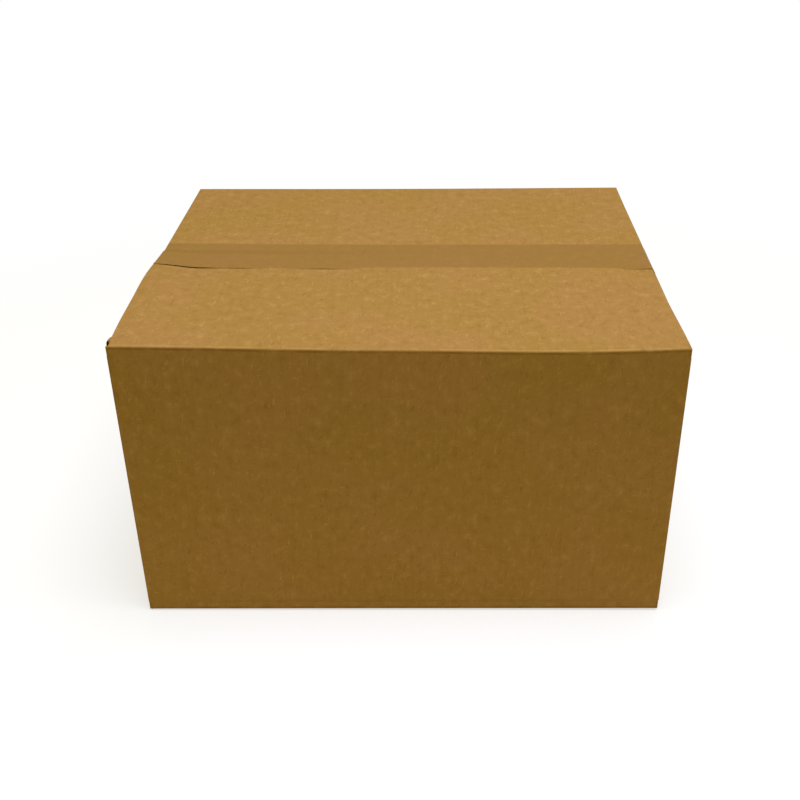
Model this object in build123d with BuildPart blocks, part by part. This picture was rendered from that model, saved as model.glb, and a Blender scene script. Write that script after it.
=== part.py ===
from build123d import *
import os
from math import acos, atan2, hypot, tan

# A closed regular slotted carton: one sheet of corrugated board, folded and taped.
# X runs along the box, Y from front to back, Z up. The origin is on the ground, under the middle.

# Carton, outside sizes
length = 356.0
width = 305.0
height = 204.0  # over the closed outer flaps, without tape

# Board and folds
board = 3.0
fold_inside = 0.3  # radius inside a scored fold
outer_flap_inset = 2.3  # from an end panel's outer face in to the cut end of an outer flap
inner_flap_inset = 4.2  # from the front panel's outer face in to the cut side of an inner flap
inner_flap_reach = 152.0
layer_gap = 0.3  # between an inner flap and the outer flap over it
seam_gap = 1.5  # between the free edges of two outer flaps
top_seam_y = 3.5  # the top seam is a little behind the middle

# Maker's joint, glued inside the back panel at the left corner
tab_reach = 35.0
tab_taper = 8.0

# The left end of the front top flap stands up between its fold and the tape
arch_lift = 5.8
seam_lift = 1.8
lifted_length = 142.0  # along X, from the flap's left end to where it lies flat

# Packing tape
tape_width = 48.0
tape_thickness = 0.06
tape_tail = 60.0  # down an end panel
top_tape_y = -1.2

# Worked out from the sizes above
fold_outside = fold_inside + board
carton_bottom = tape_thickness
carton_top = carton_bottom + height
middle_height = (carton_bottom + carton_top) / 2
inner_flap_drop = board + layer_gap  # outer flap's outer face to inner flap's outer face
corner_top = carton_top - inner_flap_drop - fold_outside  # here the end panels begin to fold
corner_height = 2 * (corner_top - middle_height)
outer_flap_half = length / 2 - outer_flap_inset
inner_flap_half = width / 2 - inner_flap_inset
front_flap_edge = top_seam_y - seam_gap / 2
back_flap_edge = top_seam_y + seam_gap / 2
top_tape_front = top_tape_y - tape_width / 2
top_tape_back = top_tape_y + tape_width / 2
left_face = -length / 2
right_face = length / 2
left_flap_end = -outer_flap_half
flat_from = left_flap_end + lifted_length

# The tape pulls the lifted end straight next to the seam: one flat facet, which slopes down both to the right
# and to the seam, and ends in a slanting crease where it reaches the height of the flat flap.
taut_margin = 15.0
taut_from = top_tape_front - taut_margin
taut_slope = (arch_lift - seam_lift) / (front_flap_edge - taut_from)
joint_face = width / 2 - board  # inner face of the back panel

FRONT, BACK, LEFT, RIGHT = (0, 1, 0), (0, -1, 0), (1, 0, 0), (-1, 0, 0)  # each points inwards
TOP, BOTTOM = 1, -1


def section_plane(origin, inwards, side):
    """A plane across a flap: x runs inwards from the panel's outer face, y outwards from the flap."""
    return Plane(origin=origin, x_dir=inwards, z_dir=Vector(*inwards).cross(Vector(0, 0, side)))


def flat_section(plane, reach):
    """The section of a fold and its flat flap."""
    with BuildSketch(plane) as section:
        with BuildLine():
            outer_bend = CenterArc((fold_outside, -fold_outside), fold_outside, 180, -90)
            inner_bend = CenterArc((fold_outside, -fold_outside), fold_inside, 90, 90)
            Polyline(outer_bend @ 1, (reach, 0), (reach, -board), inner_bend @ 0)
            Line(inner_bend @ 1, outer_bend @ 0)
        make_face()
    return section.sketch


def arched_section(plane, reach, lift, slope):
    """The section of a fold and the curved part of a flap, which ends lifted and at a slope."""
    with BuildSketch(plane) as section:
        with BuildLine():
            outer_bend = CenterArc((fold_outside, -fold_outside), fold_outside, 180, -90)
            Spline(outer_bend @ 1, (reach, lift), tangents=[(1, 0), (1, slope)])
            Line((reach, lift), (reach, lift - board))
            inner_bend = CenterArc((fold_outside, -fold_outside), fold_inside, 90, 90)
            Spline(inner_bend @ 0, (reach, lift - board), tangents=[(1, 0), (1, slope)])
            Line(inner_bend @ 1, outer_bend @ 0)
        make_face()
    return section.sketch


def end_lift(y):
    """How far the taut facet's left end is lifted at one y."""
    return seam_lift + taut_slope * (front_flap_edge - y)


def crease(y):
    """The x at which the taut facet reaches the flat flap's height at one y."""
    return left_flap_end + lifted_length * end_lift(y) / arch_lift


def polygon(*points):
    return Face(Wire.make_polygon(points))


def tape_wrap_height(lift):
    """How far above the corner a tape, pulled over an outer flap's end, meets the end panel."""
    across = fold_outside - outer_flap_inset
    up = inner_flap_drop + fold_outside + lift
    turn = atan2(up, across) - acos(fold_outside / hypot(up, across))
    return fold_outside * tan(turn / 2)


def lifted_tape_side(over):
    """One side of the top tape's left end, a distance over the board: its flat facets, front edge and back edge.

    The facets run from the tail's end to where the flap lies flat, and step down over the seam."""
    across = (top_tape_front, front_flap_edge, back_flap_edge, top_tape_back)
    lifts = (end_lift(top_tape_front), seam_lift, 0, 0)
    level = carton_top + over
    ends = [(left_flap_end, y, level + lift) for y, lift in zip(across, lifts)]
    wraps = [(left_face - over, y, corner_top + tape_wrap_height(lift)) for y, lift in zip(across, lifts)]
    tails = [(left_face - over, y, corner_top - tape_tail) for y in across[::3]]
    creases = [(crease(y), y, level) for y in across[:2]]
    starts = [(flat_from, y, level) for y in across[::3]]
    facets = [
        polygon(ends[0], creases[0], creases[1], ends[1]),
        polygon(ends[1], creases[1], ends[2]),
        polygon(creases[0], starts[0], starts[1], ends[3], ends[2], creases[1]),
        polygon(ends[0], ends[1], wraps[1]),
        polygon(ends[0], wraps[1], wraps[0]),
        polygon(ends[1], ends[2], wraps[2]),
        polygon(ends[1], wraps[2], wraps[1]),
        polygon(ends[2], ends[3], wraps[3], wraps[2]),
        polygon(*wraps, tails[1], tails[0]),
    ]
    front_edge = [tails[0], wraps[0], ends[0], creases[0], starts[0]]
    back_edge = [tails[1], wraps[3], ends[3], starts[1]]
    return facets, front_edge, back_edge


def flat_tape_section(start):
    """A tape along its length over flat flaps, from one x to the end of its tail on the right."""
    tail_end = corner_top - tape_tail
    wrap = corner_top + tape_wrap_height(0)
    with BuildSketch(Plane.XZ) as section:
        with BuildLine():
            Polyline(
                (start, carton_top),
                (outer_flap_half, carton_top),
                (right_face, wrap),
                (right_face, tail_end),
                (right_face + tape_thickness, tail_end),
                (right_face + tape_thickness, wrap),
                (outer_flap_half, carton_top + tape_thickness),
                (start, carton_top + tape_thickness),
                close=True,
            )
        make_face()
    return section.sketch


with BuildPart() as carton:
    # Four panels and three folded corners. At the fourth corner the back panel ends in a cut edge,
    # and the left panel folds inside it.
    with BuildSketch(Plane.XY.offset(middle_height)) as panels:
        RectangleRounded(length, width, fold_outside)
        RectangleRounded(length - 2 * board, width - 2 * board, fold_inside, mode=Mode.SUBTRACT)
        corner_size = 2 * fold_outside + board
        with Locations((left_face, width / 2)):
            Rectangle(corner_size, corner_size, align=(Align.MIN, Align.MAX), mode=Mode.SUBTRACT)
            Rectangle(corner_size, board, align=(Align.MIN, Align.MAX))
        with Locations((left_face, width / 2 - corner_size)):
            Rectangle(board, fold_outside, align=(Align.MIN, Align.MIN))
        with BuildLine():
            fold_centre = (left_face + fold_outside, joint_face - fold_outside)
            outer_bend = CenterArc(fold_centre, fold_outside, 90, 90)
            inner_bend = CenterArc(fold_centre, fold_inside, 90, 90)
            Line(outer_bend @ 0, inner_bend @ 0)
            Line(outer_bend @ 1, inner_bend @ 1)
        make_face()
    extrude(amount=corner_height / 2, both=True)

    # The glue tab lies against the inside of the back panel, with tapered ends.
    with BuildSketch(Plane.XZ.offset(-joint_face)) as tab:
        with BuildLine():
            tab_root = left_face + fold_outside
            Polyline(
                (tab_root, corner_top),
                (tab_root + tab_reach, corner_top - tab_taper),
                (tab_root + tab_reach, 2 * middle_height - corner_top + tab_taper),
                (tab_root, 2 * middle_height - corner_top),
                close=True,
            )
        make_face()
    extrude(amount=board)

    # The front and back panels go on past the corners, up and down to the outer flaps' folds.
    with BuildSketch(Plane.XY.offset(corner_top)) as panel_ends:
        RectangleRounded(length, width, fold_outside)
        Rectangle(length, width - 2 * board, mode=Mode.SUBTRACT)
        Rectangle(2 * outer_flap_half, width, mode=Mode.INTERSECT)
    panel_extension = extrude(amount=inner_flap_drop)
    mirror(panel_extension, about=Plane.XY.offset(middle_height))

    # Inner flaps, from the end panels, one board below the outer ones
    for level, side in ((carton_top - inner_flap_drop, TOP), (carton_bottom + inner_flap_drop, BOTTOM)):
        for end, inwards in ((left_face, LEFT), (right_face, RIGHT)):
            inner_flap = flat_section(section_plane((end, 0, level), inwards, side), inner_flap_reach)
            extrude(inner_flap, amount=inner_flap_half, both=True)

    # Outer flaps: both at the bottom, and the back one at the top
    bottom_reach = width / 2 - seam_gap / 2
    for face, inwards in ((-width / 2, FRONT), (width / 2, BACK)):
        bottom_flap = flat_section(section_plane((0, face, carton_bottom), inwards, BOTTOM), bottom_reach)
        extrude(bottom_flap, amount=outer_flap_half, both=True)
    back_top_plane = section_plane((0, width / 2, carton_top), BACK, TOP)
    extrude(flat_section(back_top_plane, width / 2 - back_flap_edge), amount=outer_flap_half, both=True)

    # The front top flap is arched at its left end, taut next to the seam and flat over the rest.
    flap_end_plane = section_plane((left_flap_end, -width / 2, carton_top), FRONT, TOP)
    flap_flat_plane = section_plane((flat_from, -width / 2, carton_top), FRONT, TOP)
    curved_reach = width / 2 + taut_from
    loft(
        [
            arched_section(flap_end_plane, curved_reach, arch_lift, -taut_slope),
            arched_section(flap_flat_plane, curved_reach, 0, 0),
        ],
        ruled=True,
    )
    crease_ends = (flat_from, taut_from, carton_top), (crease(front_flap_edge), front_flap_edge, carton_top)
    taut_facet = polygon(
        (left_flap_end, taut_from, carton_top + arch_lift),
        *crease_ends,
        (left_flap_end, front_flap_edge, carton_top + seam_lift),
    )
    flat_facet = polygon(*crease_ends, (flat_from, front_flap_edge, carton_top))
    extrude(taut_facet, amount=board, dir=(0, 0, -1))
    extrude(flat_facet, amount=board, dir=(0, 0, -1))
    front_reach = width / 2 + front_flap_edge
    extrude(flat_section(flap_flat_plane, front_reach), amount=outer_flap_half - flat_from)
carton.part.label = "carton"

with BuildPart() as top_tape:
    under, under_front, under_back = lifted_tape_side(0)
    upper, upper_front, upper_back = lifted_tape_side(tape_thickness)
    edges = [
        polygon(*under_front, *reversed(upper_front)),
        polygon(*under_back, *reversed(upper_back)),
        polygon(under_front[0], under_back[0], upper_back[0], upper_front[0]),
        polygon(under_front[-1], under_back[-1], upper_back[-1], upper_front[-1]),
    ]
    add(Solid(Shell(under + upper + edges)))
    with Locations((0, top_tape_y, 0)):
        add(extrude(flat_tape_section(flat_from), amount=tape_width / 2, both=True, mode=Mode.PRIVATE))
top_tape.part.label = "top_tape"

with BuildPart() as bottom_tape:
    extrude(flat_tape_section(0), amount=tape_width / 2, both=True)
    mirror(about=Plane.YZ)
    mirror(about=Plane.XY.offset(middle_height), mode=Mode.REPLACE)
bottom_tape.part.label = "bottom_tape"

os.makedirs("parts", exist_ok=True)
export_step(carton.part, "parts/carton.step")
export_step(top_tape.part, "parts/top_tape.step")
export_step(bottom_tape.part, "parts/bottom_tape.step")
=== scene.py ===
"""A closed, taped carton of brown corrugated board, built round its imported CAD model. Metres, Z up."""
import math

import bpy
import numpy as np
from mathutils import Matrix, Vector


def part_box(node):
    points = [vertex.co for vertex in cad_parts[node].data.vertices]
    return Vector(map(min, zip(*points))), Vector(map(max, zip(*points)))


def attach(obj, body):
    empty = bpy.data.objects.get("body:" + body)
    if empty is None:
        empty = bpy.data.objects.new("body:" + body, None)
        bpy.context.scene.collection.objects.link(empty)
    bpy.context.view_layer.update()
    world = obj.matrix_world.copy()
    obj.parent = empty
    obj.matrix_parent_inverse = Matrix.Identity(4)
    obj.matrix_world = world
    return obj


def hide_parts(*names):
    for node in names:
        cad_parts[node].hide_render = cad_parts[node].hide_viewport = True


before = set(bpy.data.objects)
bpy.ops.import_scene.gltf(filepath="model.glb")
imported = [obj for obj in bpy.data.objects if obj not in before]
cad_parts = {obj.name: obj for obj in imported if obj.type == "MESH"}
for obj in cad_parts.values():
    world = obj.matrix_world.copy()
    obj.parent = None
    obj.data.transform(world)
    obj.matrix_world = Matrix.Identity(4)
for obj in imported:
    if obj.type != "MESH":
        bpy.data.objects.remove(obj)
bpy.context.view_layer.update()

MM = 0.001

# ---------------------------------------------------------------- sizes

low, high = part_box("carton")
LEFT_X, RIGHT_X = low[0], high[0]
FRONT_Y, BACK_Y = low[1], high[1]
GROUND = low[2]
LENGTH = RIGHT_X - LEFT_X
WIDTH = BACK_Y - FRONT_Y
HEIGHT = 204 * MM
TOP = GROUND + HEIGHT
BOARD = 3 * MM
LAYER_GAP = 0.3 * MM
DROP = BOARD + LAYER_GAP  # an inner flap lies this far below the outer face of an outer one

FOLD_OUT = 1.3 * MM  # radius outside a fold, where the board is crushed along its score
FOLD_IN = 0.4 * MM
FOLD_STEPS = 7
CREASE_SPREAD = 12 * MM  # beyond a fold, the inner face is back at its plain spacing after this
WALL_MARGIN = 0.6 * MM  # the walls' grid ends this far short of the folds
STEP = 4.6 * MM  # largest cell of the sheet's mesh
END_CELL = 2.5 * MM  # the cell at an outer flap's cut end, which reaches out or in as it has bent

OUTER_INSET = 2.3 * MM  # cut end of an outer flap, in from the end panel's face
INNER_INSET = 4.2 * MM
INNER_REACH = 152 * MM
SEAM_Y = 3.5 * MM
SEAM_GAP = 1.5 * MM
GLUE = 0.05 * MM
TAB_REACH = 35 * MM
TAB_TAPER = 8 * MM

LINER = 0.35 * MM  # thickness of the two faces of the board, seen at a cut edge
GROOVE = 1.0 * MM  # how far the flutes stand back between them

TAPE_WIDTH = 48 * MM
TAPE_Y = -1.2 * MM
TAPE_TAIL = 60 * MM
TAPE_THICKNESS = 0.06 * MM
TAPE_CLEAR = 0.06 * MM


# ---------------------------------------------------------------- small curves

def smooth(x):
    """0 below 0, 1 above 1, and a smooth step between."""
    x = np.clip(x, 0, 1)
    return x * x * (3 - 2 * x)


def through(points, x):
    """A smooth curve through a few (x, y) points, level past its ends."""
    px, py = np.array(points, float).T
    slope = np.gradient(py, px)
    x = np.clip(x, px[0], px[-1])
    i = np.clip(np.searchsorted(px, x) - 1, 0, len(px) - 2)
    span = px[i + 1] - px[i]
    t = (x - px[i]) / span
    return (
        (1 + 2 * t) * (1 - t) ** 2 * py[i]
        + t * (1 - t) ** 2 * span * slope[i]
        + t * t * (3 - 2 * t) * py[i + 1]
        + t * t * (t - 1) * span * slope[i + 1]
    )


def stops(*marks, step=STEP):
    """Rising values through all the marks, no more than a step apart."""
    values = [marks[0]]
    for a, b in zip(marks, marks[1:]):
        count = max(1, math.ceil((b - a) / step - 1e-6))
        values += [a + (b - a) * (i + 1) / count for i in range(count)]
    return values


# ---------------------------------------------------------------- how the box has bent

# Height of the top front fold over its nominal height, in mm, along the box from left (0) to right (1)
FOLD_SAG = (
    (0, 2.3), (0.17, 1.4), (0.35, 0.1), (0.55, -0.6),
    (0.76, -1.5), (0.86, -1.2), (0.95, -0.2), (1, 0.5),
)
# Height of the front top flap's left end, in mm, from its fold (0) to its free edge (1)
ARCH = (
    (0, 2.3), (0.03, 3.5), (0.11, 4.5), (0.4, 5.8),
    (0.64, 6.5), (0.73, 5.7), (0.85, 3.8), (1, 1.8),
)
ARCH_LENGTH = 62 * MM  # over which the lifted end comes down again, less near the seam
# Heights over nominal, in mm, from left (0) to right (1)
SEAM_SAG = ((0, 0.6), (0.25, -0.4), (0.6, -0.9), (1, -1.0))
BACK_FOLD_SAG = ((0, -0.2), (0.5, -0.3), (1, 0.6))
FOOT_RISE = ((0, 0.5), (0.5, 0.9), (1, 1.1))  # the bottom front fold
BULGE = 0.9 * MM  # of each panel at its middle


def along(x):
    return (x - LEFT_X) / LENGTH


def front_flap_rise(x, y):
    """How far the front top flap stands above its nominal height."""
    reach = np.clip((y - FRONT_Y) / (SEAM_Y - FRONT_Y), 0, 1)
    fold = through(FOLD_SAG, along(x)) * MM
    seam = through(SEAM_SAG, along(x)) * MM
    arched = 1 - smooth((x - LEFT_X) / (ARCH_LENGTH * (1 - 0.45 * smooth((reach - 0.55) / 0.3))))
    plain = fold + (seam - fold) * reach
    return plain + (through(ARCH, reach) * MM - plain) * arched * (0.35 + 0.65 * smooth(reach / 0.1))


def back_flap_rise(x, y):
    reach = np.clip((BACK_Y - y) / (BACK_Y - SEAM_Y), 0, 1)
    fold = through(BACK_FOLD_SAG, along(x)) * MM
    seam = through(SEAM_SAG, along(x)) * MM
    return fold + (seam - fold) * reach


def foot_rise(x, height, inwards):
    """How far the bottom front fold stands off the ground; the middle of the bottom lies on it."""
    fade = (1 - smooth(height / (60 * MM))) * (1 - smooth(inwards / (70 * MM)))
    return through(FOOT_RISE, along(x)) * MM * fade


def panel_bulge(across, z):
    """How far a panel bellies outwards, where across runs from 0 to 1 over its width."""
    up = np.clip((z - GROUND) / HEIGHT, 0, 1)
    return BULGE * np.sin(math.pi * np.clip(across, 0, 1)) * np.sin(math.pi * up)


def widened(x):
    """The box is held open a hair wider than its creases."""
    return x * 1.0014 + 0.1 * MM


def end_reach(region, y, side):
    """How much further than its nominal end an outer flap reaches, at its left (-1) or right (1) end."""
    on_panel = np.where(region[:5] == "front", y < FRONT_Y + 0.6 * MM, y > BACK_Y - 0.6 * MM)
    flap = {
        ("front top", 1): 1.5 * MM * (1 - smooth((y - FRONT_Y) / (85 * MM))),
        ("front bottom", -1): 1.2 * MM,
        ("front bottom", 1): 0.8 * MM,
        ("back top", -1): 0.3 * MM,
    }.get((region, side), 0)
    return np.where(on_panel, (1.8 if region[:5] == "front" else 0.4) * MM, flap)


# ---------------------------------------------------------------- the folded sheet

class Panel:
    """One wall of the carton: a straight run in plan, seen from outside from start to start + length."""

    def __init__(self, name, start, heading, length, folded_at_start=True, folded_at_end=True):
        self.name = name
        self.start = np.array(start)
        self.heading = np.array(heading, float)
        self.outwards = np.array((heading[1], -heading[0]), float)
        self.length = length
        self.first = FOLD_OUT if folded_at_start else 0
        self.last = length - (FOLD_OUT if folded_at_end else 0)
        self.folded = (folded_at_start, folded_at_end)

    def inner_run(self, s, share=1):
        """Where the inner face's point lies along the run: the fold takes more of the inner face."""
        extra = (BOARD + FOLD_IN - FOLD_OUT) * share
        if self.folded[0] and s < FOLD_OUT + CREASE_SPREAD:
            s = s + extra * max(0, 1 - (s - FOLD_OUT) / CREASE_SPREAD)
        back = self.length - s
        if self.folded[1] and back < FOLD_OUT + CREASE_SPREAD:
            s = s - extra * (1 - (back - FOLD_OUT) / CREASE_SPREAD)
        return s

    def points(self, s, share=1):
        """The outer and the inner point in plan."""
        outer = self.start + s * self.heading
        inner = self.start + self.inner_run(s, share) * self.heading - BOARD * self.outwards
        return outer, inner


JOINT_Y = BACK_Y - BOARD - GLUE
TAB = Panel("tab", (LEFT_X + TAB_REACH, JOINT_Y), (-1, 0), TAB_REACH, folded_at_start=False)
LEFT = Panel("left", (LEFT_X, JOINT_Y), (0, -1), JOINT_Y - FRONT_Y)
FRONT = Panel("front", (LEFT_X, FRONT_Y), (1, 0), LENGTH)
RIGHT = Panel("right", (RIGHT_X, FRONT_Y), (0, 1), WIDTH)
BACK = Panel("back", (RIGHT_X, BACK_Y), (-1, 0), LENGTH, folded_at_end=False)
PANELS = (TAB, LEFT, FRONT, RIGHT, BACK)


class Sheet:
    """Nodes of the folded sheet: an outer and an inner point, a place on the flat blank and a region."""

    def __init__(self):
        self.outer, self.inner, self.blank, self.region, self.fold = [], [], [], [], []
        self.cells = []

    def node(self, outer, inner, blank, region, fold=-1.0):
        self.outer.append(outer)
        self.inner.append(inner)
        self.blank.append(blank)
        self.region.append(region)
        self.fold.append(fold)
        return len(self.outer) - 1

    def join(self, rows, flip=False):
        """Cells between rows of nodes; seen from outside, rows run up and columns to the right."""
        for below, above in zip(rows, rows[1:]):
            for i in range(len(below) - 1):
                cell = (below[i], below[i + 1], above[i + 1], above[i])
                self.cells.append(cell[::-1] if flip else cell)


def flap_ends(panel, inset):
    """Where a flap's cut ends lie along its panel's run. The left panel's run starts behind the glue."""
    return inset - (GLUE if panel is LEFT else 0), panel.length - inset


def panel_columns():
    """Columns round the box: (panel, s) on a straight run, or (panel, None, angle) in the fold after it."""
    columns = []
    for panel in PANELS:
        inset = OUTER_INSET if panel in (FRONT, BACK) else INNER_INSET
        first, last = flap_ends(panel, inset)
        marks = [panel.first, first, inset + END_CELL, last - END_CELL, last, panel.last]
        if panel is TAB:
            marks = [panel.first, panel.last]
        columns += [(panel, s) for s in stops(*marks)]
        if panel.folded[1]:
            columns += [(panel, None, math.pi / 2 * (i + 1) / FOLD_STEPS) for i in range(FOLD_STEPS - 1)]
    return columns


def fold_points(panel, angle):
    """The outer and inner point in plan in the fold at a panel's end."""
    corner = panel.start + panel.length * panel.heading
    points = []
    for radius, inset in ((FOLD_OUT, FOLD_OUT), (FOLD_IN, BOARD + FOLD_IN)):
        centre = corner - inset * panel.heading - inset * panel.outwards
        points.append(centre + radius * (math.sin(angle) * panel.heading + math.cos(angle) * panel.outwards))
    return points


def build_walls(sheet):
    """The four panels, the glue tab and the folds between them. Returns the grid's rows and its columns."""
    columns = panel_columns()
    first_row = GROUND + DROP + BOARD + FOLD_IN + WALL_MARGIN
    last_row = TOP - DROP - BOARD - FOLD_IN - WALL_MARGIN
    heights = stops(first_row, first_row + 2 * MM, last_row - 2 * MM, last_row)
    middle = (first_row + last_row) / 2
    rows = []
    for z in heights:
        row = []
        run = 0.0
        before = None
        for column in columns:
            panel = column[0]
            outer, inner = panel.points(column[1]) if len(column) == 2 else fold_points(panel, column[2])
            if before is not None:
                run += float(np.linalg.norm(outer - before))
            before = outer
            height = z
            if panel is TAB:
                root = 1 if len(column) == 3 else column[1] / TAB.last
                height = middle + (z - middle) * (1 - (1 - root) * TAB_TAPER / (last_row - middle))
            row.append(sheet.node((*outer, height), (*inner, height), (run, z), panel.name))
        rows.append(row)
    sheet.join(rows)
    return rows, columns


def flap_profile(drop, reach):
    """Points of a flap's outer and inner face, from the wall's last row round the fold to the free edge.

    Each is (inwards, up) from the outer faces of the panel and the flap, and how far it is from the fold."""
    profile = []
    straight = [BOARD + FOLD_IN + WALL_MARGIN + drop, BOARD + FOLD_IN + 0.45 * MM + drop]
    while straight[-1] - 1.4 * MM > FOLD_OUT:
        straight.append(straight[-1] - 1.1 * MM)
    for depth in straight[1:]:
        inner_depth = max(depth, BOARD + FOLD_IN + 0.05 * (depth - FOLD_OUT))
        profile.append(((0, -depth), (BOARD, -inner_depth), -depth))
    for i in range(FOLD_STEPS + 1):
        angle = math.pi / 2 * i / FOLD_STEPS
        sine, cosine = math.sin(angle), math.cos(angle)
        outer = (FOLD_OUT * (1 - cosine), FOLD_OUT * (sine - 1))
        centre = BOARD + FOLD_IN
        inner = (centre - FOLD_IN * cosine, -centre + FOLD_IN * sine)
        profile.append((outer, inner, FOLD_OUT * (angle - math.pi / 4)))
    for t in stops(FOLD_OUT, FOLD_OUT + 6 * MM, reach - 2 * MM, reach)[1:]:
        share = max(0, 1 - (t - FOLD_OUT) / CREASE_SPREAD)
        inner_t = t + (BOARD + FOLD_IN - FOLD_OUT) * share
        profile.append(((t, 0), (inner_t, -BOARD), t))
    return profile


def build_flap(sheet, wall_rows, columns, panel, top, outer_flap, reach):
    """One flap, joined to the wall's top or bottom row."""
    inset = OUTER_INSET if outer_flap else INNER_INSET
    edge_row = wall_rows[-1 if top else 0]
    first, last = flap_ends(panel, inset)
    chosen = [
        i for i, c in enumerate(columns)
        if len(c) == 2 and c[0] is panel and first - 1e-7 < c[1] < last + 1e-7
    ]
    sign = 1 if top else -1
    level = (TOP if top else GROUND) - sign * (0 if outer_flap else DROP)
    rows = [[edge_row[i] for i in chosen]]
    region = f"{panel.name} {'top' if top else 'bottom'}"
    for outer_at, inner_at, distance in flap_profile(DROP if outer_flap else 0, reach):
        row = []
        for i in chosen:
            s = columns[i][1]
            share = max(0.0, 1 - max(0.0, distance) / (6 * MM))
            outer_plan = panel.start + s * panel.heading - outer_at[0] * panel.outwards
            inner_s = panel.inner_run(s, share)
            inner_plan = panel.start + inner_s * panel.heading - inner_at[0] * panel.outwards
            blank = (sheet.blank[edge_row[i]][0], level + sign * distance)
            row.append(
                sheet.node(
                    (*outer_plan, level + sign * outer_at[1]),
                    (*inner_plan, level + sign * inner_at[1]),
                    blank,
                    region,
                    distance if outer_flap else -1.0,
                )
            )
        rows.append(row)
    sheet.join(rows, flip=not top)


def bend(sheet):
    """Moves the nodes from their nominal places to the box as it has bent."""
    outer = np.array(sheet.outer)
    region = np.array(sheet.region)
    x, y, z = outer.T
    move = np.zeros_like(outer)

    front_top = region == "front top"
    move[front_top, 2] += front_flap_rise(x, y)[front_top]
    back_top = region == "back top"
    move[back_top, 2] += back_flap_rise(x, y)[back_top]

    # The front and back panels take up their folds' rise over their upper half.
    up = smooth((z - GROUND) / HEIGHT * 2 - 1)
    front, back = region == "front", region == "back"
    move[front, 2] += (through(FOLD_SAG, along(x)) * MM * up)[front]
    move[back, 2] += (through(BACK_FOLD_SAG, along(x)) * MM * up)[back]
    # The end panels follow it at their front corners, with their inner flaps.
    corner = up * (1 - smooth((y - FRONT_Y) / (60 * MM)))
    for name, side in (("left", 0), ("right", 1)):
        wall = (region == name) | (region == name + " top")
        move[wall, 2] += (through(FOLD_SAG, side) * MM * corner)[wall]
    foot = front | (region == "front bottom")
    move[foot, 2] += foot_rise(x, z - GROUND, y - FRONT_Y)[foot]

    # The panels belly out.
    fronts = front | front_top & (y < FRONT_Y + FOLD_OUT)
    move[fronts, 1] -= panel_bulge(along(x), z)[fronts]
    move[back, 1] += panel_bulge(along(x), z)[back]
    depth = (y - FRONT_Y) / WIDTH
    for name, side in (("left", -1), ("right", 1)):
        wall = region == name
        move[wall, 0] += side * panel_bulge(depth, z)[wall]
    move[:, 0] += widened(x) - x

    # The ends of the outer flaps and of the panels under their folds
    for name in ("front top", "back top", "front bottom", "back bottom"):
        for side in (-1, 1):
            from_end = (RIGHT_X - OUTER_INSET) - side * x
            chosen = (region == name) & (from_end < END_CELL + 0.1 * MM)
            share = 1 - np.clip(from_end / END_CELL, 0, 1)
            move[chosen, 0] += (side * share * end_reach(name, y, side))[chosen]

    # At the front, the left end panel's top fold has been pushed up past the flap's end.
    left_top = region == "left top"
    near_front = 1 - smooth((y - FRONT_Y - 5 * MM) / (24 * MM))
    near_fold = smooth((z - (TOP - 7.4 * MM)) / (5 * MM))
    outside = 1 - smooth((x - LEFT_X - 1.1 * MM) / (1.3 * MM))
    stands = 5.4 * MM * near_front * near_fold * outside
    move[left_top, 2] += stands[left_top]
    return outer + move, np.array(sheet.inner) + move


def edge_strips(outer, inner, cells):
    """Closes the sheet's cut edges: a liner, a groove between the liners, and the other liner."""
    seen = {}
    for cell in cells:
        for a, b in zip(cell, cell[1:] + cell[:1]):
            seen[(a, b)] = True
    border = [(a, b) for a, b in seen if (b, a) not in seen]
    inwards = {}
    for a, b in border:
        through_board = outer[a] - inner[a]
        side = np.cross(through_board / np.linalg.norm(through_board), outer[b] - outer[a])
        side /= np.linalg.norm(side)
        for node in (a, b):
            inwards.setdefault(node, []).append(side)
    count = len(outer)
    extra, levels = [], {}
    for node, sides in inwards.items():
        into = sum(sides)
        if len(sides) == 2 and np.dot(*sides) > 0.5:
            into = into / 2
        share = LINER / BOARD
        span = outer[node] - inner[node]
        near = outer[node] - span * share
        far = inner[node] + span * share
        levels[node] = [count * 2 + len(extra) + i for i in range(4)]
        extra += [near, near + into * GROOVE, far + into * GROOVE, far]
    strips = []
    for a, b in border:
        ring_a = [a] + levels[a] + [a + count]
        ring_b = [b] + levels[b] + [b + count]
        for k in range(5):
            strips.append((ring_a[k], ring_a[k + 1], ring_b[k + 1], ring_b[k]))
    return np.array(extra), strips, levels


def make_mesh(name, points, faces, blank, fold=None, sharp=math.radians(50)):
    mesh = bpy.data.meshes.new(name)
    mesh.from_pydata([tuple(p) for p in points], [], faces)
    mesh.validate()
    layer = mesh.attributes.new("blank", "FLOAT_VECTOR", "POINT")
    layer.data.foreach_set("vector", np.asarray(blank, np.float32).ravel())
    if fold is not None:
        layer = mesh.attributes.new("fold", "FLOAT", "POINT")
        layer.data.foreach_set("value", np.asarray(fold, np.float32) / MM)
    mesh.polygons.foreach_set("use_smooth", [True] * len(mesh.polygons))
    mesh.set_sharp_from_angle(angle=sharp)
    mesh.update()
    piece = bpy.data.objects.new(name, mesh)
    bpy.context.scene.collection.objects.link(piece)
    return piece


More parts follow.
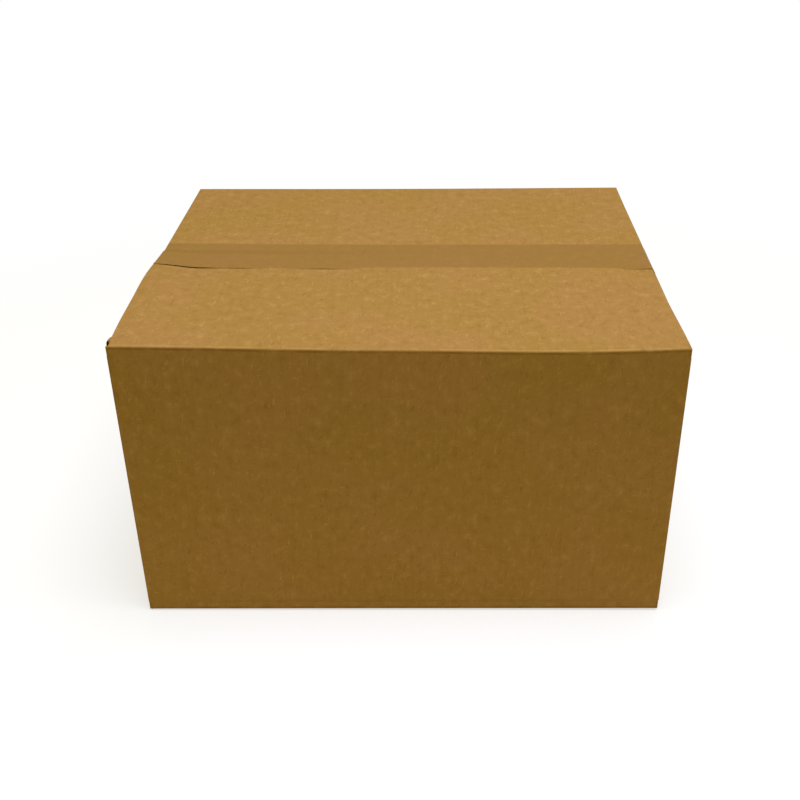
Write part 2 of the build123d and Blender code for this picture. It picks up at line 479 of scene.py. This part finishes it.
def build_carton():
    sheet = Sheet()
    wall_rows, columns = build_walls(sheet)
    half = WIDTH / 2
    reaches = {
        (FRONT, True): half + SEAM_Y - SEAM_GAP / 2,
        (BACK, True): half - SEAM_Y - SEAM_GAP / 2,
        (FRONT, False): half - SEAM_GAP / 2,
        (BACK, False): half - SEAM_GAP / 2,
    }
    for top in (True, False):
        for panel in (LEFT, RIGHT):
            build_flap(sheet, wall_rows, columns, panel, top, False, INNER_REACH)
        for panel in (FRONT, BACK):
            build_flap(sheet, wall_rows, columns, panel, top, True, reaches[panel, top])
    outer, inner = bend(sheet)
    extra, strips, levels = edge_strips(outer, inner, sheet.cells)
    count = len(outer)
    faces = [tuple(c) for c in sheet.cells]
    faces += [tuple(i + count for i in reversed(c)) for c in sheet.cells]
    faces += strips
    flat = [(u, v, 0.0) for u, v in sheet.blank]
    blank = flat + [(u, v, BOARD) for u, v, _ in flat]
    for node in levels:
        blank += [(*flat[node][:2], BOARD * k / 5) for k in (1, 2, 3, 4)]
    fold = sheet.fold + [-1.0] * (count + len(extra))
    return make_mesh("carton_board", np.vstack([outer, inner, extra]), faces, blank, fold)


# ---------------------------------------------------------------- tape

TAIL_POINTS = 14
SEAM_BRIDGE = 6.5 * MM  # the tape steps down from the front flap to the back one over this width
LOOSE_WIDTH = 5 * MM  # width of the strip along the top tape's front edge that has come off in places
LOOSE_EDGE = (  # by how much it has, in mm, from left (0) to right (1)
    (0, 0.1), (0.03, 0.5), (0.11, 0.6), (0.14, 0.1), (0.17, 0.3), (0.2, 0),
    (0.3, 0), (0.34, 0.3), (0.38, 0), (0.95, 0), (1, 0.5),
)


def top_height(x, y):
    """Height of the top's outer face, with the tape's slope over the seam."""
    front = TOP + front_flap_rise(x, np.minimum(y, SEAM_Y - SEAM_GAP / 2))
    back = TOP + back_flap_rise(x, np.maximum(y, SEAM_Y + SEAM_GAP / 2))
    over = smooth((y - SEAM_Y + SEAM_GAP / 2) / SEAM_BRIDGE)
    loose = smooth((LOOSE_WIDTH - (y - TAPE_Y + TAPE_WIDTH / 2)) / LOOSE_WIDTH)
    loose = loose * through(LOOSE_EDGE, along(x)) * MM
    return front + (back - front) * over + loose


def wrap_height(lift):
    """How far above the end panel's fold centre a strip pulled over an outer flap's end meets the panel."""
    across = FOLD_OUT - OUTER_INSET
    up = DROP + FOLD_OUT + lift
    turn = math.atan2(up, across) - math.acos(min(1, FOLD_OUT / math.hypot(up, across)))
    return FOLD_OUT * math.tan(turn / 2)


def skew(line, x):
    """How far the top tape's front edge runs forwards at its left end."""
    share = 1 - smooth((line - TAPE_Y + TAPE_WIDTH / 2) / (20 * MM))
    return 2.2 * MM * share * (1 - smooth((x - LEFT_X) / (55 * MM)))


def tape_grid(lines, height, level, sign, spread):
    """Points of a tape's underside: one row for each y in lines, along its length from tail to tail."""
    rows = []
    corner = level - sign * (DROP + FOLD_OUT)
    tail_end = corner - sign * TAPE_TAIL
    end_x = RIGHT_X - OUTER_INSET
    for line in lines:
        row = []
        y = line - spread(line, -end_x)
        left_top = float(height(-end_x, y))
        right_top = float(height(end_x, y))
        for side, top_z, order in ((-1, left_top, 1), (1, right_top, -1)):
            wrap = corner + sign * wrap_height(abs(top_z - level))
            depth = (y - FRONT_Y) / WIDTH
            tail = [
                (side * (RIGHT_X + panel_bulge(depth, z)), y, z)
                for z in np.linspace(tail_end, wrap, TAIL_POINTS)
            ]
            slope = [
                (side * (RIGHT_X - OUTER_INSET * k), y, wrap + (top_z - wrap) * k)
                for k in (0.25, 0.5, 0.75)
            ]
            part = tail + slope
            if side < 0:
                row += part
                for x in stops(-end_x, -end_x + 4 * MM, end_x - 4 * MM, end_x):
                    y = line - spread(line, x)
                    row.append((x, y, float(height(x, y))))
            else:
                row += part[::-1]
        rows.append(row)
    grid = np.array(rows)
    grid[..., 0] = widened(grid[..., 0])
    return grid


def tape_mesh(name, grid):
    """A closed thin strip on a grid of points on its underside."""
    rows, count = grid.shape[:2]
    along_tape = np.gradient(grid, axis=1)
    across = np.gradient(grid, axis=0)
    normal = np.cross(along_tape, across)
    normal /= np.linalg.norm(normal, axis=2, keepdims=True)
    under = grid + normal * TAPE_CLEAR
    upper = under + normal * TAPE_THICKNESS
    points = np.vstack([upper.reshape(-1, 3), under.reshape(-1, 3)])
    total = rows * count

    def at(row, column):
        return row * count + column

    faces = []
    for r in range(rows - 1):
        for c in range(count - 1):
            cell = (at(r, c), at(r, c + 1), at(r + 1, c + 1), at(r + 1, c))
            faces.append(cell)
            faces.append(tuple(i + total for i in reversed(cell)))
    ring = [at(0, c) for c in range(count)] + [at(r, count - 1) for r in range(1, rows)]
    ring += [at(rows - 1, c) for c in range(count - 2, -1, -1)] + [at(r, 0) for r in range(rows - 2, 0, -1)]
    for a, b in zip(ring, ring[1:] + ring[:1]):
        faces.append((a, a + total, b + total, b))
    lengths = np.cumsum(np.r_[0, np.linalg.norm(np.diff(grid[0], axis=0), axis=1)])
    blank = [(lengths[c], grid[r, c, 1], 0.0) for r in range(rows) for c in range(count)] * 2
    return make_mesh(name, points, faces, blank)


def build_top_tape():
    front, back = TAPE_Y - TAPE_WIDTH / 2, TAPE_Y + TAPE_WIDTH / 2
    lines = stops(front, SEAM_Y - SEAM_GAP / 2, SEAM_Y + SEAM_GAP / 2, back, step=1.5 * MM)
    return tape_mesh("top_tape_strip", tape_grid(lines, top_height, TOP, 1, skew))


def build_bottom_tape():
    lines = [-TAPE_WIDTH / 2 + TAPE_WIDTH * i / 12 for i in range(13)]
    grid = tape_grid(lines, lambda x, y: GROUND, GROUND, -1, lambda line, x: 0)
    return tape_mesh("bottom_tape_strip", grid[::-1])


# ---------------------------------------------------------------- materials

class Nodes:
    """Short calls for building a material's nodes."""

    def __init__(self, name):
        self.material = bpy.data.materials.new(name)
        self.material.use_nodes = True
        self.tree = self.material.node_tree
        self.tree.nodes.clear()
        self.output = self.add("ShaderNodeOutputMaterial")

    def add(self, kind, **settings):
        node = self.tree.nodes.new(kind)
        for key, value in settings.items():
            setattr(node, key, value)
        return node

    def link(self, source, target):
        self.tree.links.new(source, target)

    def feed(self, socket, value):
        if isinstance(value, bpy.types.NodeSocket):
            self.link(value, socket)
        elif isinstance(value, (tuple, list)) and socket.type == "RGBA":
            socket.default_value = (*value, 1)
        else:
            socket.default_value = value

    def math(self, operation, a, b=0.0, clamp=False):
        node = self.add("ShaderNodeMath", operation=operation, use_clamp=clamp)
        self.feed(node.inputs[0], a)
        self.feed(node.inputs[1], b)
        return node.outputs[0]

    def scaled(self, vector, scale):
        node = self.add("ShaderNodeVectorMath", operation="MULTIPLY")
        self.feed(node.inputs[0], vector)
        node.inputs[1].default_value = scale
        return node.outputs[0]

    def turned(self, vector, degrees):
        node = self.add("ShaderNodeVectorRotate", rotation_type="Z_AXIS")
        self.feed(node.inputs["Vector"], vector)
        node.inputs["Angle"].default_value = math.radians(degrees)
        return node.outputs[0]

    def noise(self, vector, scale, detail=2.0, roughness=0.5):
        """Noise about 0.5; scale is the number of blobs a metre, once for each direction."""
        node = self.add("ShaderNodeTexNoise")
        self.feed(node.inputs["Vector"], self.scaled(vector, scale))
        node.inputs["Scale"].default_value = 1
        node.inputs["Detail"].default_value = detail
        node.inputs["Roughness"].default_value = roughness
        return node.outputs["Fac"]

    def band(self, value, low_end, high_end):
        """0 below low_end, 1 above high_end, smooth between."""
        node = self.add("ShaderNodeMapRange", interpolation_type="SMOOTHSTEP", clamp=True)
        self.feed(node.inputs["Value"], value)
        node.inputs["From Min"].default_value = low_end
        node.inputs["From Max"].default_value = high_end
        return node.outputs["Result"]

    def mix(self, share, a, b, blend="MIX"):
        node = self.add("ShaderNodeMix", data_type="RGBA", blend_type=blend)
        self.feed(node.inputs[0], share)
        self.feed(node.inputs[6], a)
        self.feed(node.inputs[7], b)
        return node.outputs[2]

    def bump(self, height, strength, distance):
        node = self.add("ShaderNodeBump")
        node.inputs["Strength"].default_value = strength
        node.inputs["Distance"].default_value = distance
        self.feed(node.inputs["Height"], height)
        return node.outputs["Normal"]


KRAFT = (0.440, 0.238, 0.062)
KRAFT_DARK = (0.300, 0.145, 0.024)
KRAFT_LIGHT = (0.600, 0.350, 0.110)
KRAFT_OLIVE = (0.405, 0.230, 0.042)
KRAFT_ROSE = (0.455, 0.236, 0.070)
TAPE_TINT = (0.84, 0.80, 0.80)  # of the clear brown film over the board


# Fibres: the way they lie in degrees, how many a metre along and across them, and whether they are light
FLECKS = (
    (12, 170, 700, True),
    (78, 150, 760, False),
    (-40, 160, 720, True),
    (115, 150, 640, False),
    (95, 130, 600, True),
)


def kraft_colour(n, place, contrast=1.0):
    """Colour of the liner: cloudy pulp, hue patches, and short light and dark fibres."""
    cloud = n.noise(place, (13, 13, 13), 3)
    colour = n.mix(n.band(cloud, 0.38, 0.62), KRAFT_OLIVE, KRAFT_ROSE)
    colour = n.mix(0.42 * contrast, KRAFT, colour)
    mottle = n.noise(place, (150, 120, 150), 3, 0.55)
    colour = n.mix(n.math("MULTIPLY", n.band(mottle, 0.5, 0.78), 0.42 * contrast), colour, KRAFT_LIGHT)
    colour = n.mix(n.math("MULTIPLY", n.band(mottle, 0.48, 0.22), 0.40 * contrast), colour, KRAFT_DARK)
    for turn, lengthwise, crosswise, light in FLECKS:
        fleck = n.noise(n.turned(place, turn), (lengthwise, crosswise, 400), 1)
        share = n.math("MULTIPLY", n.band(fleck, 0.64, 0.78), 0.55 * contrast)
        colour = n.mix(share, colour, KRAFT_LIGHT if light else KRAFT_DARK)
    streak = n.noise(place, (420, 9, 200), 2)
    colour = n.mix(n.math("MULTIPLY", n.band(streak, 0.5, 0.75), 0.14 * contrast), colour, KRAFT_DARK)
    return colour


def board_material():
    n = Nodes("kraft_board")
    place = n.add("ShaderNodeAttribute", attribute_name="blank").outputs["Vector"]
    shader = n.add("ShaderNodeBsdfPrincipled")
    colour = kraft_colour(n, place)
    # Painted highlight on an outer flap's fold: a pale band along its top; painted shade in the score beside
    # it: a dark band.
    fold = n.add("ShaderNodeAttribute", attribute_name="fold").outputs["Fac"]
    uneven = n.band(n.noise(place, (60, 60, 60), 3), 0.3, 0.6)
    pale = n.math("MULTIPLY", n.band(fold, -0.3, 0.5), n.band(fold, 2.0, 1.0))
    colour = n.mix(n.math("MULTIPLY", n.math("MULTIPLY", pale, uneven), 0.45), colour, KRAFT_LIGHT)
    dark = n.math("MULTIPLY", n.band(fold, -3.0, -2.0), n.band(fold, -0.3, -0.9))
    colour = n.mix(n.math("MULTIPLY", n.math("MULTIPLY", dark, uneven), 0.7), colour, KRAFT_DARK)
    # Painted shade: the cut edges' recessed flutes, between the two liners, are darker.
    depth = n.add("ShaderNodeSeparateXYZ")
    n.link(place, depth.inputs[0])
    past_outer = n.band(depth.outputs["Z"], 0.1 * BOARD, 0.25 * BOARD)
    before_inner = n.band(depth.outputs["Z"], 0.9 * BOARD, 0.75 * BOARD)
    cut = n.math("MULTIPLY", past_outer, before_inner)
    colour = n.mix(n.math("MULTIPLY", cut, 0.75), colour, KRAFT_DARK)
    n.feed(shader.inputs["Base Color"], colour)
    n.feed(shader.inputs["Roughness"], 0.85)
    n.feed(shader.inputs["Specular IOR Level"], 0.15)
    fine = n.noise(place, (1400, 1400, 1400), 3, 0.6)
    fibre = n.noise(place, (500, 1100, 600), 2)
    height = n.math("ADD", n.math("MULTIPLY", fine, 0.5), n.math("MULTIPLY", fibre, 0.5))
    normal = n.bump(height, 0.25, 0.00025)
    n.link(normal, shader.inputs["Normal"])
    n.link(shader.outputs["BSDF"], n.output.inputs["Surface"])
    return n.material


def tape_material():
    n = Nodes("brown_tape")
    place = n.add("ShaderNodeAttribute", attribute_name="blank").outputs["Vector"]
    shader = n.add("ShaderNodeBsdfPrincipled")
    colour = kraft_colour(n, place, contrast=0.45)
    colour = n.mix(1.0, colour, TAPE_TINT, blend="MULTIPLY")
    # Painted shade over the step at the seam, where the film goes down from one flap to the other; the step
    # and its shade fade out to the right.
    across = n.add("ShaderNodeSeparateXYZ")
    n.link(place, across.inputs[0])
    from_front = n.band(across.outputs["Y"], 1.5 * MM, 4.0 * MM)
    from_back = n.band(across.outputs["Y"], 11.5 * MM, 8.5 * MM)
    seam_shade = n.math("MULTIPLY", from_front, from_back)
    seam_shade = n.math("MULTIPLY", seam_shade, n.band(across.outputs["X"], 300 * MM, 100 * MM))
    colour = n.mix(n.math("MULTIPLY", seam_shade, 0.3), colour, KRAFT_DARK)
    n.feed(shader.inputs["Base Color"], colour)
    n.feed(shader.inputs["Roughness"], 0.45)
    n.feed(shader.inputs["Specular IOR Level"], 0.3)
    ripple = n.noise(place, (30, 160, 60), 3)
    n.link(n.bump(ripple, 0.25, 0.0004), shader.inputs["Normal"])
    n.link(shader.outputs["BSDF"], n.output.inputs["Surface"])
    return n.material


# ---------------------------------------------------------------- pieces

carton = build_carton()
carton.data.materials.append(board_material())
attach(carton, "root")
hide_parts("carton")

tape = tape_material()
top_tape = build_top_tape()
bottom_tape = build_bottom_tape()
for strip, node in ((top_tape, "top_tape"), (bottom_tape, "bottom_tape")):
    strip.data.materials.append(tape)
    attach(strip, "root")
    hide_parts(node)


# ---------------------------------------------------------------- studio

def seen_directly(n):
    """1 for rays from the camera, a reflection or through glass, 0 for light between surfaces."""
    path = n.add("ShaderNodeLightPath")
    seen = n.math("MAXIMUM", path.outputs["Is Camera Ray"], path.outputs["Is Glossy Ray"])
    return n.math("MAXIMUM", seen, path.outputs["Is Transmission Ray"])


FLOOR_SIZE = 6.0
FLOOR_NEAR = (0.74, 0.66, 0.44)  # light that the floor gives back to the box, warm as in a room
FLOOR_FAR = (0.32, 0.27, 0.02)
FLOOR_GLOW = 0.6  # share of the floor's own white that the camera sees even in full shadow
FLOOR_TURN = (0.2, 0.8)  # metres from the box's middle over which near turns to far
FLOOR_FADE = (0.35, 0.75)  # and over which the floor turns to plain white
FLOOR_SEEN = (0.55, 0.55, 0.55)  # the floor's own colour to the camera, which takes the box's shadow
FLOOR_BELOW = 0.2 * MM  # clear of the box's underside


def floor_material():
    n = Nodes("pale_floor")
    seen = seen_directly(n)
    place = n.add("ShaderNodeTexCoord").outputs["Object"]
    distance = n.add("ShaderNodeVectorMath", operation="LENGTH")
    n.link(place, distance.inputs[0])
    bounce = n.mix(n.band(distance.outputs["Value"], *FLOOR_TURN), FLOOR_NEAR, FLOOR_FAR)
    diffuse = n.add("ShaderNodeBsdfDiffuse")
    n.feed(diffuse.inputs["Color"], n.mix(seen, bounce, FLOOR_SEEN))
    white = n.add("ShaderNodeEmission")
    n.feed(white.inputs["Strength"], n.math("MULTIPLY", seen, FLOOR_GLOW))
    near = n.add("ShaderNodeAddShader")
    n.link(diffuse.outputs[0], near.inputs[0])
    n.link(white.outputs[0], near.inputs[1])
    far = n.add("ShaderNodeEmission")
    blend = n.add("ShaderNodeMixShader")
    n.link(n.math("MULTIPLY", n.band(distance.outputs["Value"], *FLOOR_FADE), seen), blend.inputs[0])
    n.link(near.outputs[0], blend.inputs[1])
    n.link(far.outputs[0], blend.inputs[2])
    n.link(blend.outputs[0], n.output.inputs["Surface"])
    return n.material


def add_floor():
    half = FLOOR_SIZE / 2
    mesh = bpy.data.meshes.new("studio_floor")
    corners = [(-half, -half, 0), (half, -half, 0), (half, half, 0), (-half, half, 0)]
    mesh.from_pydata(corners, [], [(0, 1, 2, 3)])
    floor = bpy.data.objects.new("studio_floor", mesh)
    bpy.context.scene.collection.objects.link(floor)
    mesh.materials.append(floor_material())
    floor.location.z = -FLOOR_BELOW


WORLD_LIGHT = (0.30, 0.275, 0.06)
KEY_PLACE = (0.15, -0.22, 1.55)
KEY_TARGET = (0, -0.05, 0.2)
KEY_SIZE = 1.1
KEY_POWER = 16.9
KEY_COLOUR = (0.97, 1.0, 1.30)


def add_world():
    world = bpy.data.worlds.new("studio")
    bpy.context.scene.world = world
    world.use_nodes = True
    tree = world.node_tree
    path = tree.nodes.new("ShaderNodeLightPath")
    colour = tree.nodes.new("ShaderNodeMix")
    colour.data_type = "RGBA"
    tree.links.new(path.outputs["Is Camera Ray"], colour.inputs[0])
    colour.inputs[6].default_value = (*WORLD_LIGHT, 1)
    colour.inputs[7].default_value = (1, 1, 1, 1)
    tree.links.new(colour.outputs[2], tree.nodes["Background"].inputs["Color"])


def add_area(name, place, target, size, power, colour):
    light = bpy.data.lights.new(name, "AREA")
    light.shape = "SQUARE"
    light.size = size
    light.energy = power
    light.color = colour
    lamp = bpy.data.objects.new(name, light)
    bpy.context.scene.collection.objects.link(lamp)
    towards = Vector(target) - Vector(place)
    lamp.rotation_euler = towards.to_track_quat("-Z", "Y").to_euler()
    lamp.location = place


CAMERA_PLACE = (0.0205, -0.7392, 0.4974)
CAMERA_TILT = math.radians(-30.71)
CAMERA_ROLL = math.radians(0.18)
CAMERA_YAW = math.radians(0.30)
CAMERA_LENS = 48.625
CAMERA_SHIFT = 0.0345


def add_camera():
    camera = bpy.data.cameras.new("camera")
    camera.lens = CAMERA_LENS
    camera.sensor_width = 36
    camera.shift_x = -CAMERA_SHIFT
    camera.shift_y = CAMERA_SHIFT
    camera.clip_start = 0.01
    view = bpy.data.objects.new("camera", camera)
    bpy.context.scene.collection.objects.link(view)
    turn = Matrix.Rotation(CAMERA_YAW, 4, "Z") @ Matrix.Rotation(CAMERA_TILT, 4, "X")
    turn = turn @ Matrix.Rotation(CAMERA_ROLL, 4, "Y")
    view.matrix_world = Matrix.Translation(CAMERA_PLACE) @ turn @ Matrix.Rotation(math.pi / 2, 4, "X")
    bpy.context.scene.camera = view


add_floor()
add_world()
add_area("key", KEY_PLACE, KEY_TARGET, KEY_SIZE, KEY_POWER, KEY_COLOUR)
add_camera()
bpy.context.scene.view_settings.view_transform = "Standard"
